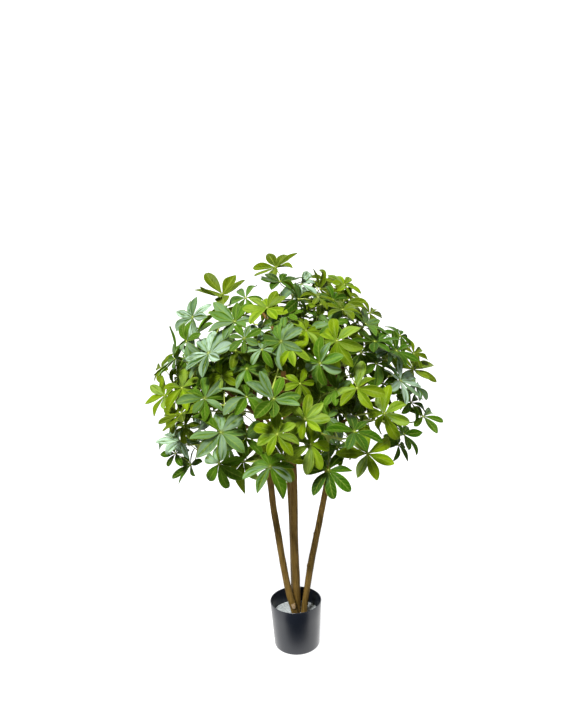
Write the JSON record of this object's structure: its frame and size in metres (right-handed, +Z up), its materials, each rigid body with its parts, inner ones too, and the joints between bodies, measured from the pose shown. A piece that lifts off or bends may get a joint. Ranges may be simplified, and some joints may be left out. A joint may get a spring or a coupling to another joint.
{
  "type": "potted schefflera",
  "caption": "Multi-stemmed schefflera tree with a domed crown of palmate leaves, in a plain round tapered pot with a pale granular fill.",
  "frame": {"origin": "middle of the pot's flat underside, where the plant stands", "axes": "+Z up along the trunks, -Y towards the viewer of the picture, +X to the viewer's right"},
  "size_m": [0.7418, 0.6889, 1.0775],
  "materials": {
    "pot": "satin charcoal moulded plastic",
    "fill": "rough pale plaster with fine grains",
    "bark": "smooth olive-brown bark with fine cracks",
    "leaf": "satin green leaf with a pale midrib"
  },
  "bodies": {
    "root": {"pot": "pot", "fill": "fill", "trunk_left": "bark", "trunk_middle": "bark", "trunk_right": "bark", "trunk_back": "bark", "spray_01": "leaf", "spray_02": "leaf", "spray_03": "leaf", "spray_04": "leaf", "spray_05": "leaf", "spray_06": "leaf", "spray_07": "leaf", "spray_08": "leaf", "spray_09": "leaf", "spray_10": "leaf", "spray_11": "leaf", "spray_12": "leaf", "spray_13": "leaf", "spray_14": "leaf", "spray_15": "leaf", "spray_16": "leaf", "spray_17": "leaf", "spray_18": "leaf", "spray_19": "leaf", "spray_20": "leaf", "spray_21": "leaf", "spray_22": "leaf", "spray_23": "leaf", "spray_24": "leaf", "spray_25": "leaf", "spray_26": "leaf", "spray_27": "leaf", "spray_28": "leaf", "spray_29": "leaf", "spray_30": "leaf", "spray_31": "leaf", "spray_32": "leaf", "spray_33": "leaf"}
  },
  "joints": []
}
